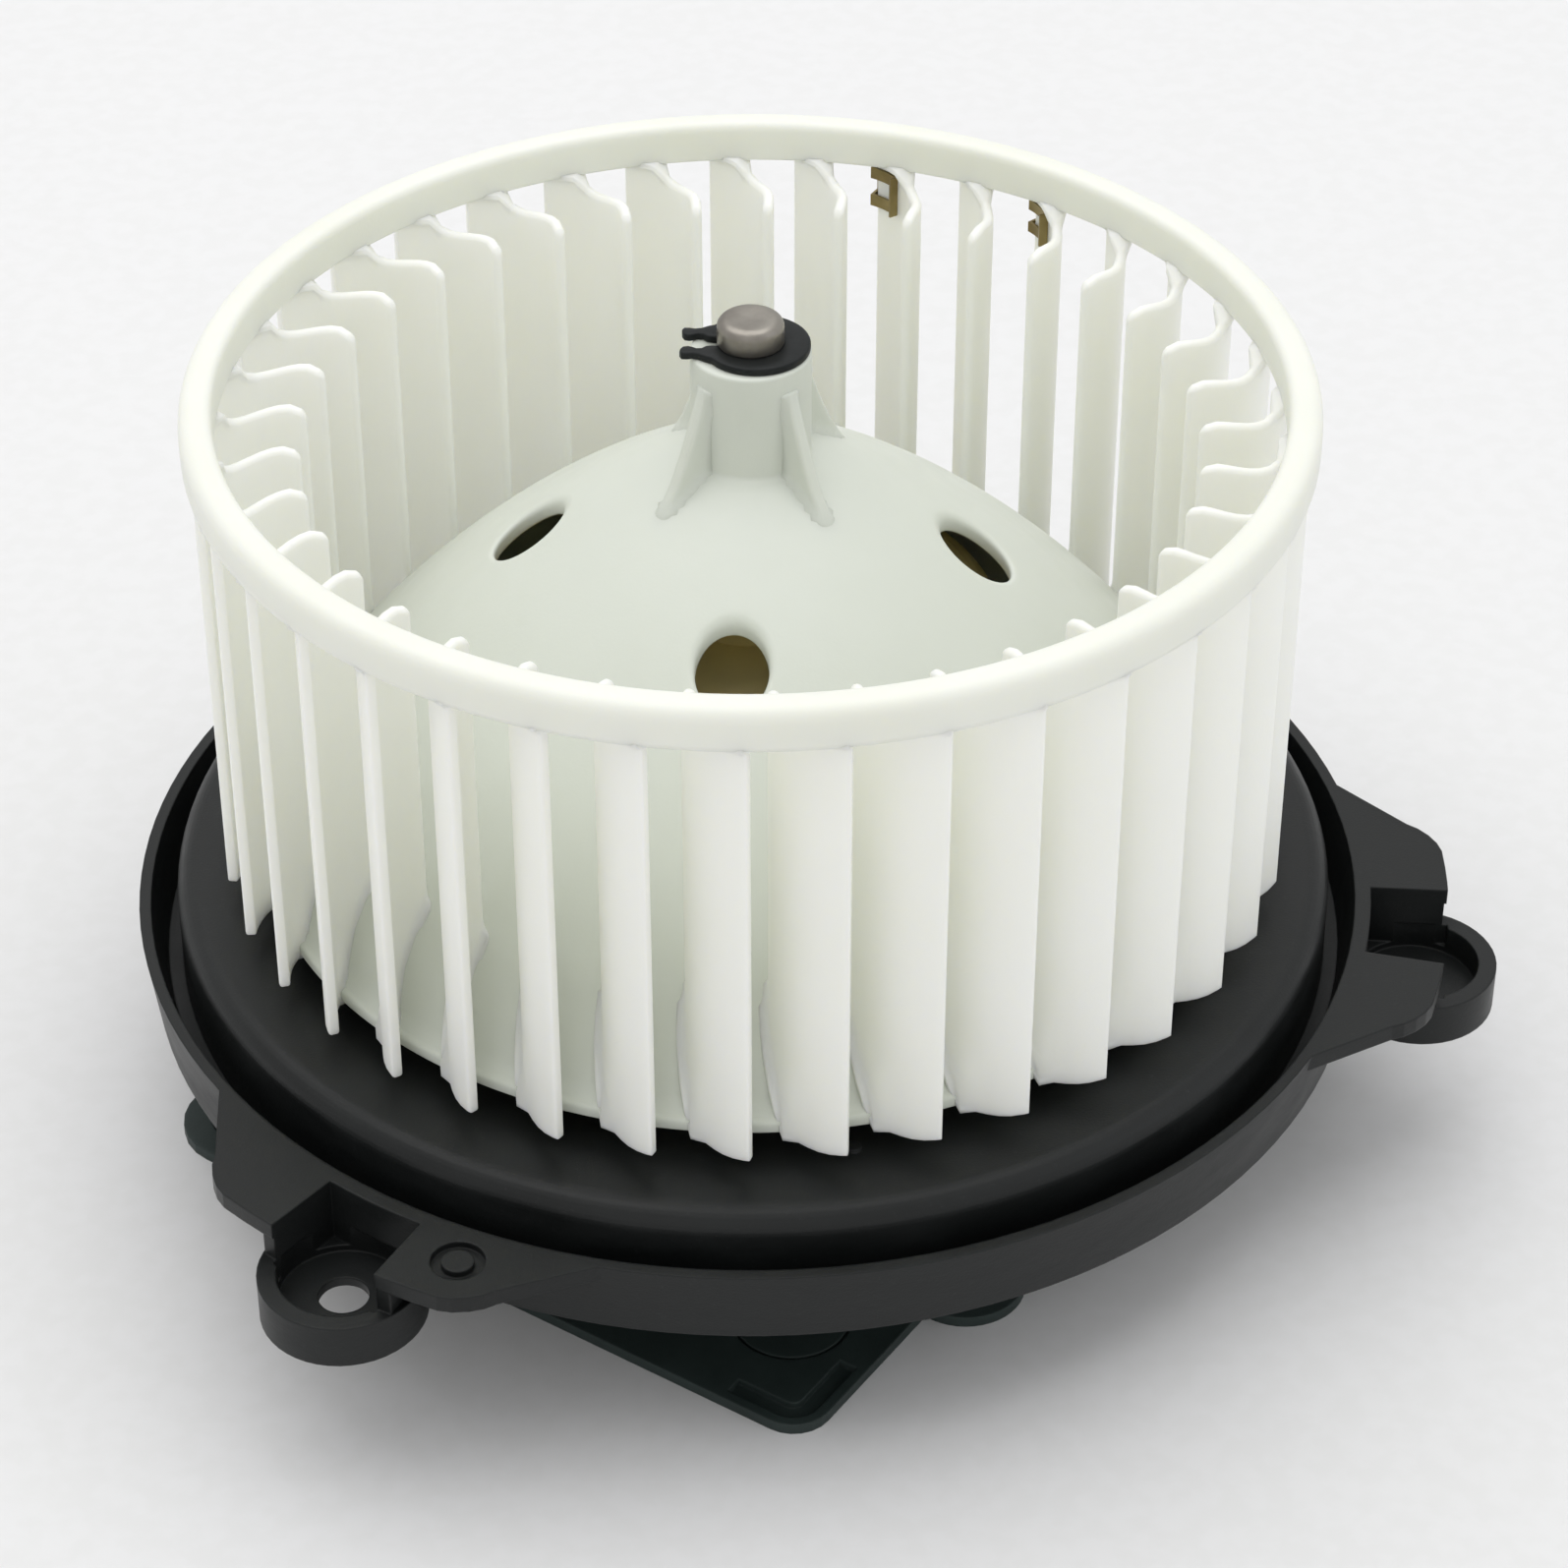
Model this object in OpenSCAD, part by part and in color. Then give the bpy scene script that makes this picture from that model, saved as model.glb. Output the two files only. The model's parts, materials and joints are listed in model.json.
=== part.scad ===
// Heater blower: a brushed motor in a moulded mounting flange, with its squirrel-cage wheel.
// Millimetres, +Z up the motor shaft. The origin is on the shaft's axis, in the plane of the
// flange's outer land, which is the face that seats on the fan scroll.

/* [Wheel rim] */
// Outer radius of the rim
rim_r = 67.5; // [67:0.1:68]
// Inner radius of the rim
rim_inner_r = 63.5; // [63:0.1:63.9]
// Height of the rim's lower face above the flange land
rim_z = 66.4; // [65:0.2:68]
// Height of the rim band
rim_h = 5.4; // [4.4:0.2:6.4]

/* [Blades] */
// Number of blades
blade_count = 37; // [31:1:39]
// Radius of the blades' outer edges
blade_ro = 66.7; // [66:0.1:66.9]
// Radius of the blades' inner edges
blade_ri = 53.5; // [52.5:0.5:54.5]
// How far each inner edge lags behind the outer edge, clockwise from above
blade_lag = 6.8; // [5:0.2:8]
// Blade thickness
blade_t = 1.35; // [1.1:0.05:1.6]
// Radius of the blade's circular section, at mid thickness
blade_arc_r = 10.35; // [9.5:0.05:12]
// Height of the blades' lower ends
blade_z = 7.2; // [7:0.2:8]
// Azimuth of the outer edge of the first blade
blade_phase = -90.37; // [-95:0.1:-85]

/* [Hub] */
// Radius of the hub's lower edge
hub_r = 62.1; // [61:0.1:63]
// Height of the hub's lower edge
hub_z = 7.9; // [7.9:0.1:9]
// Wall thickness of the hub dome
hub_t = 2; // [1.6:0.1:2.4]
// Radius of the boss round the shaft
boss_r = 7.2; // [6.7:0.05:7.5]
// Height of the boss's top face
boss_z = 76; // [75:0.5:77]
// Radius of each cooling vent
vent_r = 4.35; // [3:0.05:5]
// Distance of the vents from the axis
vent_pitch_r = 27.1; // [25:0.1:30]

/* [Shaft and clip] */
// Shaft diameter
shaft_d = 8; // [8:1:8]
// Height of the shaft's top end
shaft_z = 80.2; // [79:0.2:82]
// Thickness of the circlip
clip_t = 1; // [0.8:0.1:1]
// Outer radius of the circlip's body
clip_r = 6.4; // [6:0.1:6.8]

/* [Flange] */
// Outer radius of the flange land
land_r = 77.96; // [77.5:0.02:78.4]
// Inner radius of the flange land, where the seal groove begins
land_inner_r = 76.5; // [76.2:0.1:76.8]
// Radius of the raised disc under the wheel
disc_r = 73; // [72.5:0.1:73.5]
// Height of the raised disc's top
disc_z = 4.7; // [4:0.1:5]
// Depth of the seal groove below the land
groove_d = 7.5; // [6:0.1:8]
// Depth of the outer skirt below the land
skirt_d = 10.15; // [9.9:0.05:10.6]

/* [Screw ears] */
// Azimuths of the three ears
ear_az = [-124.35, -9.3, 113.2];
// Distance of the ear screws from the axis
ear_pitch_r = 84.9; // [84:0.1:86]
// Radius of each ear's screw hole
ear_hole_r = 3; // [2.5:0.1:3.5]
// Outer radius of each ear's cup
cup_r = 9.9; // [9:0.1:10.4]
// Depth of the cup's rim below the land
cup_rim_d = 5.6; // [5:0.1:6.5]
// Depth of the cup's floor below the land
cup_floor_d = 9.5; // [9:0.1:9.9]
// Depth of the cup's underside below the land
cup_d = 11.35; // [11.2:0.05:11.5]

/* [Base cover] */
// Direction of the cover's long sides
cover_az = -124.4; // [-130:0.1:-118]
// Depth of the cover's top face below the land
cover_d = 29.2; // [29.1:0.1:30]
// Thickness of the cover
cover_t = 1.5; // [1.5:0.1:2]

/* [Motor] */
// Azimuth of the supply connector
connector_az = 90; // [88:1:92]
// Outer radius of the motor can
can_r = 31; // [31:1:31]
// Wall thickness of the motor can
can_t = 1.6; // [1.2:0.1:1.6]
// Height of the can's flat top
can_z = 40; // [40:1:40]
// Radius of the armature
armature_r = 22.5; // [21:0.5:22.5]
// Number of armature slots and commutator bars
slot_count = 12; // [8:1:12]

/* [Hidden] */

eps = 0.01;
big = 200;
shaft_r = shaft_d / 2;
running_gap = 0.03;
weld = 0.2;

function polar(r, a) = [r * cos(a), r * sin(a)];
// Points along an arc about c, from angle a to angle b
function arc(c, r, a, b, n) = [for (i = [0:n]) c + polar(r, a + (b - a) * i / n)];

// Dome: an arc of a circle that passes outside the axis
dome_c = [-62.4, -68.6];
dome_r = 148.3;
function dome_z(r) = dome_c.y + sqrt(pow(dome_r, 2) - pow(r - dome_c.x, 2));

// Blade section at mid thickness, drawn for a blade whose outer edge lies on +X
blade_out = polar(blade_ro - blade_t * 0.47, 0);
blade_in = polar(blade_ri, -blade_lag);
blade_chord = norm(blade_out - blade_in);
blade_dir = (blade_out - blade_in) / blade_chord;
blade_side = [-blade_dir.y, blade_dir.x];
blade_mid = (blade_out + blade_in) / 2;
blade_arc_c = blade_mid + blade_side * sqrt(pow(blade_arc_r, 2) - pow(blade_chord / 2, 2));
blade_mid_a = atan2(-blade_side.y, -blade_side.x);
blade_pitch = 360 / blade_count;

ivory = [0.92, 0.92, 0.85];
bluish = [0.86, 0.90, 0.88];
black_plastic = [0.12, 0.12, 0.13];
steel = [0.55, 0.53, 0.50];
dark_steel = [0.14, 0.14, 0.14];
brass = [0.66, 0.54, 0.26];
copper = [0.72, 0.42, 0.24];
bronze = [0.62, 0.50, 0.32];
chromate = [0.62, 0.56, 0.30];
ferrite = [0.20, 0.20, 0.21];
carbon = [0.16, 0.16, 0.17];
fibre = [0.45, 0.30, 0.18];
rubber = [0.08, 0.08, 0.08];

// ---- Wheel ----

// Top band of the wheel, rounded on its outer edge and undercut to meet the blades
module wheel_rim() {
    top = rim_z + rim_h;
    outer_round = 1.5;
    inner_round = 0.8;
    undercut = 0.6;
    color(ivory) rotate_extrude($fn = 180) polygon(concat(
        [[rim_inner_r, rim_z], [blade_ro, rim_z - undercut], [rim_r, rim_z + weld]],
        arc([rim_r - outer_round, top - outer_round], outer_round, 0, 90, 6),
        arc([rim_inner_r + inner_round, top - inner_round], inner_round, 90, 180, 4)));
}

// Plan shape of one blade: a thick circular arc, bowed clockwise and cut square at its outer end
module blade_section() {
    reach = 25;
    half_a = asin(blade_chord / 2 / blade_arc_r);
    difference() {
        intersection() {
            translate(blade_arc_c) difference() {
                circle(r = blade_arc_r + blade_t / 2, $fn = 120);
                circle(r = blade_arc_r - blade_t / 2, $fn = 120);
            }
            translate(blade_arc_c) polygon([[0, 0], polar(reach, blade_mid_a - half_a - 8),
                polar(reach, blade_mid_a), polar(reach, blade_mid_a + half_a)]);
        }
        circle(r = blade_ri, $fn = 180);
    }
}

// What is cut from a blade's top: a low shoulder that sweeps up to the rim's inner edge
module blade_top_cut() {
    shoulder_z = rim_z - 0.8;
    corner = 2;
    dip_z = rim_z - 1.8;
    sweep_r = 2.2;
    polygon(concat(
        [[blade_ri - 5, rim_z + 5], [blade_ri - 5, shoulder_z - corner]],
        arc([blade_ri + corner, shoulder_z - corner], corner, 180, 90, 5),
        arc([rim_inner_r - sweep_r, dip_z + sweep_r], sweep_r, 270, 360, 6),
        [[rim_inner_r, rim_z + 5]]));
}

// Half section of the space under the hub's outer face, set in by a distance: the dome's arc, then
// a steeper wall that flares out into the lip
module hub_section(inset, bottom) {
    wall = [[54.5, 30], [54.5, 22.7], [56.6, 19.6], [58.4, 16.2], [59.5, 13.2], [60, 11.6],
        [60.6, 10.5], [61.3, 9.9], [hub_r, 9.7], [hub_r, bottom]];
    intersection() {
        translate(dome_c) circle(r = dome_r - inset, $fn = 360);
        polygon(concat([[0, bottom], [0, big], [wall[0].x - inset, big]],
            [for (p = wall) [p.x - inset, p.y]]));
    }
}

// What is cut from a blade's foot, where its outer corner rises
module blade_foot_cut() {
    rise = 1;
    polygon([[blade_ro - 2.5, blade_z - 1], [blade_ro - 2.5, blade_z - rise * 0.15],
        [blade_ro - 0.8, blade_z + rise * 0.35], [blade_ro, blade_z + rise],
        [blade_ro + 1, blade_z + rise * 1.8], [blade_ro + 1, blade_z - 1]]);
}

// Space that the hub fills, less a little so that the blades run into its wall
module hub_envelope() {
    rotate_extrude($fn = 180) hub_section(weld, hub_z - 1);
}

module blade() {
    difference() {
        translate([0, 0, blade_z]) linear_extrude(height = rim_z + weld - blade_z) blade_section();
        rotate_extrude($fn = 180) blade_top_cut();
        rotate_extrude($fn = 180) blade_foot_cut();
        hub_envelope();
    }
}

module wheel_blades() {
    color(ivory) for (i = [0:blade_count - 1]) rotate(blade_phase + i * blade_pitch) blade();
}

// One web between the boss and the dome, with a hollow outer edge
module gusset() {
    web_t = 1.9;
    foot_r = 14.4;
    rotate([90, 0, 0]) translate([0, 0, -web_t / 2]) linear_extrude(height = web_t)
        polygon([[boss_r - 1, dome_z(boss_r) - 1], [foot_r, dome_z(foot_r) - 0.6], [12.2, 61.7],
            [10.6, 65.2], [9.1, 69.1], [boss_r + 0.4, 73.4], [boss_r - 1, 73.4]]);
}

// Dome with its lip, boss, gussets and vents
module wheel_hub() {
    inner_r = 5;
    boss_base_z = 54;
    pin_slot = 2.8;
    color(bluish) difference() {
        union() {
            rotate_extrude($fn = 180) difference() {
                hub_section(0, hub_z);
                hub_section(hub_t, hub_z - 1);
                square([inner_r, big]);
            }
            translate([0, 0, boss_base_z]) cylinder(r = boss_r, h = boss_z - boss_base_z, $fn = 90);
            rotate_extrude($fn = 90) polygon([[boss_r - 1, 60.5], [boss_r + 0.9, 60.5],
                [boss_r + 0.9, dome_z(boss_r + 0.9) + 0.05], [boss_r + 0.3, 62.4],
                [boss_r - 0.05, 63.2], [boss_r - 1, 63.2]]);
            for (a = [-140, -50, 40, 130]) rotate(a) gusset();
        }
        translate([0, 0, boss_base_z - 1])
            cylinder(r = shaft_r + running_gap, h = big, $fn = 60);
        for (a = [-95, -5, 85, 175]) rotate(a) translate([vent_pitch_r, 0, 0])
            cylinder(r = vent_r, h = big, $fn = 60);
        translate([-10, -pin_slot / 2, boss_base_z - 1]) cube([20, pin_slot, 1 + pin_slot]);
    }
}

// ---- Shaft and what is fixed on it ----

shaft_bottom_z = -22.9;
pin_z = 55.2;
pin_r = 1.2;
groove_r = 3.7;

module shaft() {
    chamfer = 0.7;
    color(steel) difference() {
        rotate_extrude($fn = 60) polygon([[0, shaft_bottom_z], [shaft_r - chamfer, shaft_bottom_z],
            [shaft_r, shaft_bottom_z + chamfer], [shaft_r, boss_z], [groove_r, boss_z],
            [groove_r, boss_z + clip_t + 0.1], [shaft_r, boss_z + clip_t + 0.1],
            [shaft_r, shaft_z - chamfer], [shaft_r - chamfer, shaft_z], [0, shaft_z]]);
        translate([-10, 0, pin_z]) rotate([0, 90, 0])
            cylinder(r = pin_r + 0.02, h = 20, $fn = 40);
    }
}

// External ring, widest opposite its gap, with two ears that are notched for pliers
module circlip() {
    tip_r = 0.9;
    tip_x = -7.4;
    tip_y = 1.85;
    notch_r = 0.75;
    notch_x = -5.9;
    gap = 2;
    offset_x = 0.7;
    lean = -3;
    color(dark_steel) translate([0, 0, boss_z]) rotate(lean) linear_extrude(height = clip_t)
        difference() {
            union() {
                translate([offset_x, 0]) circle(r = clip_r, $fn = 90);
                for (s = [-1, 1]) {
                    translate([tip_x, s * tip_y]) circle(r = tip_r, $fn = 40);
                    translate([tip_x, s * tip_y - tip_r]) square([3.5, 2 * tip_r]);
                }
            }
            circle(r = groove_r + 0.05, $fn = 60);
            translate([-10, -gap / 2]) square([10, gap]);
            for (s = [-1, 1]) translate([notch_x, s * gap / 2]) circle(r = notch_r, $fn = 32);
        }
}

module drive_pin() {
    pin_l = 13;
    color(steel) translate([-pin_l / 2, 0, pin_z]) rotate([0, 90, 0])
        cylinder(r = pin_r, h = pin_l, $fn = 40);
}

// Sheet clip pushed over the outer edge of one blade, under the rim: a windowed leg on the blade's
// hollow side, a bend round its edge and a plain leg behind it; angles are about the blade's arc
module balance_clip(index, h, window_h) {
    sheet = 0.35;
    clear = 0.12;
    bend = 2;
    front_a = [21, 46.5];
    back_a = [27, 46.5];
    window_a = [23, 52];
    lip_r = 0.8;
    top_z = rim_z - 0.9;
    front_r = blade_arc_r - blade_t / 2 - clear - sheet;
    back_r = blade_arc_r + blade_t / 2 + clear;
    rotate(blade_phase + index * blade_pitch) translate(blade_arc_c) rotate(blade_mid_a)
        translate([0, 0, top_z - h]) difference() {
            linear_extrude(height = h) polygon(concat(
                arc_points(front_r + sheet, front_a[0], front_a[1]),
                arc_points(back_r, back_a[1], back_a[0]),
                arc_points(back_r + sheet, back_a[0], back_a[1] + bend),
                arc_points(front_r, front_a[1] + bend, front_a[0] + bend),
                [polar(front_r - lip_r, front_a[0] + bend), polar(front_r - lip_r, front_a[0])]));
            translate([0, 0, (h - window_h) / 2]) linear_extrude(height = window_h) polygon(concat(
                arc_points(front_r - lip_r / 2, window_a[0] + bend, window_a[1]),
                arc_points(back_r - clear, window_a[1], window_a[0] + bend)));
        }
}

// Points along an arc about the origin
function arc_points(r, from_a, to_a, steps = 9) =
    [for (i = [0:steps]) polar(r, from_a + (to_a - from_a) * i / steps)];

module balance_clip_large() {
    color(brass) balance_clip(17, 5.6, 2.4);
}

module balance_clip_small() {
    color(brass) balance_clip(15, 4.6, 1.8);
}

core_z = [0, 28];
slot_pitch_r = 17.5;
slot_r = 2.8;

module armature_core() {
    mouth = 1.6;
    color(steel) difference() {
        translate([0, 0, core_z[0]]) cylinder(r = armature_r, h = core_z[1] - core_z[0], $fn = 120);
        translate([0, 0, core_z[0] - 1]) {
            cylinder(r = shaft_r, h = 40, $fn = 60);
            for (i = [0:slot_count - 1]) rotate(i * 360 / slot_count) {
                translate([slot_pitch_r, 0, 0]) cylinder(r = slot_r, h = 40, $fn = 32);
                translate([slot_pitch_r, -mouth / 2, 0]) cube([10, mouth, 40]);
            }
        }
    }
}

// Slot bars joined by rounded end turns above and below the core
module armature_windings() {
    bar_r = slot_r - 0.25;
    inner_r = 7;
    outer_r = slot_pitch_r + 2.8;
    end_h = 6.5;
    round_r = 2.4;
    color(copper) {
        for (i = [0:slot_count - 1]) rotate(i * 360 / slot_count)
            translate([slot_pitch_r, 0, core_z[0] - 2])
                cylinder(r = bar_r, h = core_z[1] - core_z[0] + 4, $fn = 32);
        for (z = [core_z[0] - 0.5 - end_h, core_z[1] + 0.5]) rotate_extrude($fn = 90)
            polygon(concat(
                arc([inner_r + round_r, z + round_r], round_r, 180, 270, 4),
                arc([outer_r - round_r, z + round_r], round_r, 270, 360, 4),
                arc([outer_r - round_r, z + end_h - round_r], round_r, 0, 90, 4),
                arc([inner_r + round_r, z + end_h - round_r], round_r, 90, 180, 4)));
    }
}

comm_r = 10;
comm_z = [-15.5, -8];

module commutator() {
    riser_r = 11.4;
    riser_h = 1.2;
    slit = 0.5;
    slit_d = 1;
    color(copper) difference() {
        union() {
            translate([0, 0, comm_z[0]]) cylinder(r = comm_r, h = comm_z[1] - comm_z[0], $fn = 90);
            translate([0, 0, comm_z[1] - riser_h]) cylinder(r = riser_r, h = riser_h, $fn = 90);
        }
        translate([0, 0, comm_z[0] - 1]) {
            cylinder(r = shaft_r, h = 20, $fn = 60);
            for (i = [0:slot_count - 1]) rotate((i + 0.5) * 360 / slot_count)
                translate([comm_r - slit_d, -slit / 2, 0]) cube([5, slit, 20]);
        }
    }
}

module washer(r_out, r_in, z, h) {
    translate([0, 0, z]) difference() {
        cylinder(r = r_out, h = h, $fn = 60);
        translate([0, 0, -1]) cylinder(r = r_in, h = h + 2, $fn = 60);
    }
}

module thrust_washer_upper() {
    color(fibre) washer(6.4, shaft_r, 35.4, 1);
}

module thrust_washer_lower() {
    color(fibre) washer(6.4, shaft_r, comm_z[0] - 1, 1);
}

// ---- Flange ----

// Radius that the skirt loses per unit of depth
skirt_slope = 0.124;
motor_cup_r = [34.5, 36.7];
cup_floor_z = [-27.2, -25.6];
cup_floor_r = 22;
disc_t = 2.2;
wall_t = 1.8;
post_r = 4.5;
// Screw posts, along and across the base cover's own axes
posts = [[49.8, -45.3], [23.5, 47.3], [-42, -45], [-42, 38.5]];
motor_screw_r = 27;
motor_screw_az = [-34.4, 145.6];

module flange_body() {
    shoulder = 2.9;
    groove_floor_r = 74.9;
    skirt_foot_r = land_r - skirt_slope * skirt_d;
    skirt_inner_r = skirt_foot_r - 1.7;
    floor_under = -groove_d - wall_t;
    disc_under = disc_z - disc_t;
    rotate_extrude($fn = 180) polygon(concat(
        [[motor_cup_r[0], disc_z]],
        [[cup_floor_r + 12.5, cup_floor_z[1]], [cup_floor_r, cup_floor_z[1]],
            [cup_floor_r, cup_floor_z[0]], [motor_cup_r[1], cup_floor_z[0]],
            [motor_cup_r[1], disc_under], [disc_r - wall_t - 1.2, disc_under],
            [disc_r - wall_t, disc_under - 1.2], [disc_r - wall_t, floor_under],
            [skirt_inner_r + 0.5, floor_under], [skirt_inner_r, -skirt_d],
            [skirt_foot_r, -skirt_d], [land_r, 0], [land_inner_r, 0],
            [groove_floor_r, -groove_d], [disc_r, -groove_d]],
        arc([disc_r - shoulder, disc_z - shoulder], shoulder, 0, 90, 8)));
}

// Ear outline in plan, for an ear on +X: depth from the tip radius and azimuth of each corner point
ear_tip_r = 88.3;
ear_root_a = 22;
ear_corner = [[3.5, 14.1], [2.3, 13.4], [1.2, 12.4], [0.4, 11.3], [0, 10.2]];
function ear_points() = concat(
    [for (a = [-1:0.25:1]) polar(land_r - 0.9, -a * ear_root_a)],
    [for (p = ear_corner) polar(ear_tip_r - p[0], -p[1])],
    [for (a = [-8:2:8]) polar(ear_tip_r, a)],
    [for (i = [len(ear_corner) - 1:-1:0]) polar(ear_tip_r - ear_corner[i][0], ear_corner[i][1])]);

// Solid wedge between two azimuths, from the skirt's slope out to radius r
module ear_wedge(half_a, r, z0, z1) {
    inset = 0.35;
    rotate(-half_a) rotate_extrude(angle = 2 * half_a, $fn = 180)
        polygon([[land_r - inset + skirt_slope * z1, z1], [r, z1], [r, z0],
            [land_r - inset + skirt_slope * z0, z0]]);
}

module ear_solid() {
    plate_t = 2.2;
    pocket_wall_a = 6.05;
    translate([0, 0, -plate_t]) linear_extrude(height = plate_t) polygon(ear_points());
    ear_wedge(pocket_wall_a, ear_tip_r - 0.3, -skirt_d + 0.15, -plate_t / 2);
    translate([0, 0, -cup_d]) intersection() {
        translate([ear_pitch_r, 0, 0]) cylinder(r = cup_r, h = cup_d - cup_rim_d, $fn = 90);
        translate([78.6, -cup_r - 1, 0]) cube([30, 2 * cup_r + 2, 20]);
    }
}

module ear_cuts() {
    cup_wall = 2.26;
    pocket_a = 4.85;
    pocket_r = 78.5;
    pocket_floor_d = 8.6;
    relief_r = 5;
    relief_d = 0.6;
    translate([0, 0, -pocket_floor_d]) rotate(-pocket_a)
        rotate_extrude(angle = 2 * pocket_a, $fn = 180)
            translate([pocket_r, 0]) square([ear_tip_r + 0.4 - pocket_r, pocket_floor_d + 1]);
    translate([ear_pitch_r, 0, 0]) {
        translate([0, 0, -cup_floor_d])
            cylinder(r = cup_r - cup_wall, h = cup_floor_d - cup_rim_d, $fn = 90);
        translate([0, 0, -20]) cylinder(r = ear_hole_r, h = 20, $fn = 60);
        translate([0, 0, -cup_d - 1]) cylinder(r = relief_r, h = 1 + relief_d, $fn = 60);
    }
}

// Round recess with a raised centre beside the first ear's pocket
module ear_recess() {
    rotate(9.85) translate([82, 0, -0.9]) difference() {
        cylinder(r = 3.2, h = 2, $fn = 60);
        translate([0, 0, -1]) cylinder(r = 1.9, h = 4, $fn = 40);
    }
}

module flange() {
    rib_t = 1.6;
    rib_h = 7;
    rib_count = 12;
    nub_az = -79.3;
    pilot_r = 1.62;
    disc_under = disc_z - disc_t;
    color(black_plastic) difference() {
        union() {
            flange_body();
            for (a = ear_az) rotate(a) ear_solid();
            for (i = [0:rib_count - 1]) rotate(10 + i * 360 / rib_count)
                translate([motor_cup_r[1] - 0.5, -rib_t / 2, disc_under - rib_h])
                    cube([disc_r - wall_t - motor_cup_r[1] + 1, rib_t, rib_h + 0.5]);
            rotate(nub_az) translate([62, 0, disc_z - 0.5]) cylinder(r = 0.9, h = 0.9, $fn = 30);
            rotate(cover_az) for (p = posts) translate([p.x, p.y, -cover_d])
                cylinder(r = post_r, h = cover_d + disc_under + 0.5, $fn = 60);
        }
        for (a = ear_az) rotate(a) ear_cuts();
        rotate(ear_az[0]) ear_recess();
        rotate(cover_az) {
            for (p = posts) translate([p.x, p.y, -cover_d - 1])
                cylinder(r = pilot_r, h = 17, $fn = 40);
        }
        rotate(connector_az) translate([motor_cup_r[0] - 3, -connector_size.y / 2 - 0.1,
            connector_z - 0.1]) cube([6, connector_size.y + 0.2, connector_size.z + 0.2]);
        for (a = motor_screw_az) rotate(a) translate([motor_screw_r, 0, -30])
            cylinder(r = 2.2, h = 6, $fn = 40);
    }
}

// ---- Motor shell ----

module motor_can() {
    top_round = 4;
    boss_out = 9.6;
    boss_in = 8.1;
    boss_top = 46;
    wall = boss_out - boss_in;
    bottom = cup_floor_z[1];
    color(chromate) difference() {
        rotate_extrude($fn = 120) polygon(concat(
            [[can_r, bottom]],
            arc([can_r - top_round, can_z - top_round], top_round, 0, 90, 6),
            [[boss_out, can_z], [boss_out, boss_top - 1], [boss_out - 1, boss_top],
                [shaft_r + 0.8, boss_top], [shaft_r + 0.8, boss_top - wall], [boss_in, boss_top - wall],
                [boss_in, can_z - can_t]],
            arc([can_r - top_round, can_z - top_round], top_round - can_t, 90, 0, 6),
            [[can_r - can_t, bottom]]));
        rotate(connector_az) translate([20, -9, card_z[0] - 2.6]) cube([20, 18, 4]);
    }
}

magnet_r = [23.6, 29.3];
magnet_z = [-4, 32];

module magnet(az) {
    half = 66;
    color(ferrite) rotate(az - half) rotate_extrude(angle = 2 * half, $fn = 120)
        translate([magnet_r[0], magnet_z[0]])
            square([magnet_r[1] - magnet_r[0], magnet_z[1] - magnet_z[0]]);
}

module magnet_front() {
    magnet(-90);
}

module magnet_rear() {
    magnet(90);
}

// Bowed strip wedged between the magnets' edges, with its edges turned in
module magnet_spring(az) {
    half = 22;
    sheet = 0.6;
    turned = 2.4;
    h = magnet_z[1] - magnet_z[0] - 6;
    color(steel) translate([0, 0, magnet_z[0] + 3]) {
        rotate(az - half) rotate_extrude(angle = 2 * half, $fn = 120)
            translate([magnet_r[1] - sheet, 0]) square([sheet, h]);
        for (a = [az - half, az + half]) rotate(a)
            translate([magnet_r[1] - turned, -sheet / 2, 0]) cube([turned - sheet / 2, sheet, h]);
    }
}

module magnet_spring_left() {
    magnet_spring(180);
}

module magnet_spring_right() {
    magnet_spring(0);
}

module bush(r, z, h) {
    edge = 0.6;
    color(bronze) rotate_extrude($fn = 60) polygon([[shaft_r + running_gap, z], [r - edge, z],
        [r, z + edge], [r, z + h - edge], [r - edge, z + h], [shaft_r + running_gap, z + h]]);
}

module bearing_upper() {
    bush(8.05, 36.8, 7.5);
}

module bearing_lower() {
    bush(7, -23.1, 4.6);
}

// Toothed spring washer that holds the upper bush in the can's pocket
module bearing_retainer_upper() {
    teeth = 8;
    color(steel) translate([0, 0, can_z - can_t - 0.8]) linear_extrude(height = 0.8) difference() {
        circle(r = 12.5, $fn = 90);
        circle(r = 8.1, $fn = 60);
        for (i = [0:teeth - 1]) rotate(i * 360 / teeth) translate([8, -0.5]) square([2.6, 1]);
    }
}

module end_plate() {
    socket_r = [7, 9];
    disc_top = -24;
    socket_top = -18.6;
    screw_core_r = 1.95;
    color(chromate) difference() {
        union() {
            translate([0, 0, cup_floor_z[1]])
                cylinder(r = can_r - can_t - 0.05, h = disc_top - cup_floor_z[1], $fn = 120);
            translate([0, 0, disc_top - eps])
                cylinder(r = socket_r[1], h = socket_top - disc_top, $fn = 60);
        }
        translate([0, 0, disc_top]) cylinder(r = socket_r[0], h = 10, $fn = 60);
        for (a = motor_screw_az) rotate(a) translate([motor_screw_r, 0, -30])
            cylinder(r = screw_core_r, h = 10, $fn = 40);
    }
}

module thrust_pad() {
    color(fibre) translate([0, 0, -24]) cylinder(r = 6.8, h = 0.8, $fn = 60);
}

// ---- Brush gear ----

card_z = [-19, -17.2];
brush_size = [8, 5, 5.6];
brush_z = -15.3;
brush_face_r = comm_r + 0.1;
holder_wall = 1.2;
brush_fit = 0.08;
holder_x = [11.9, 23.5];

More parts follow.
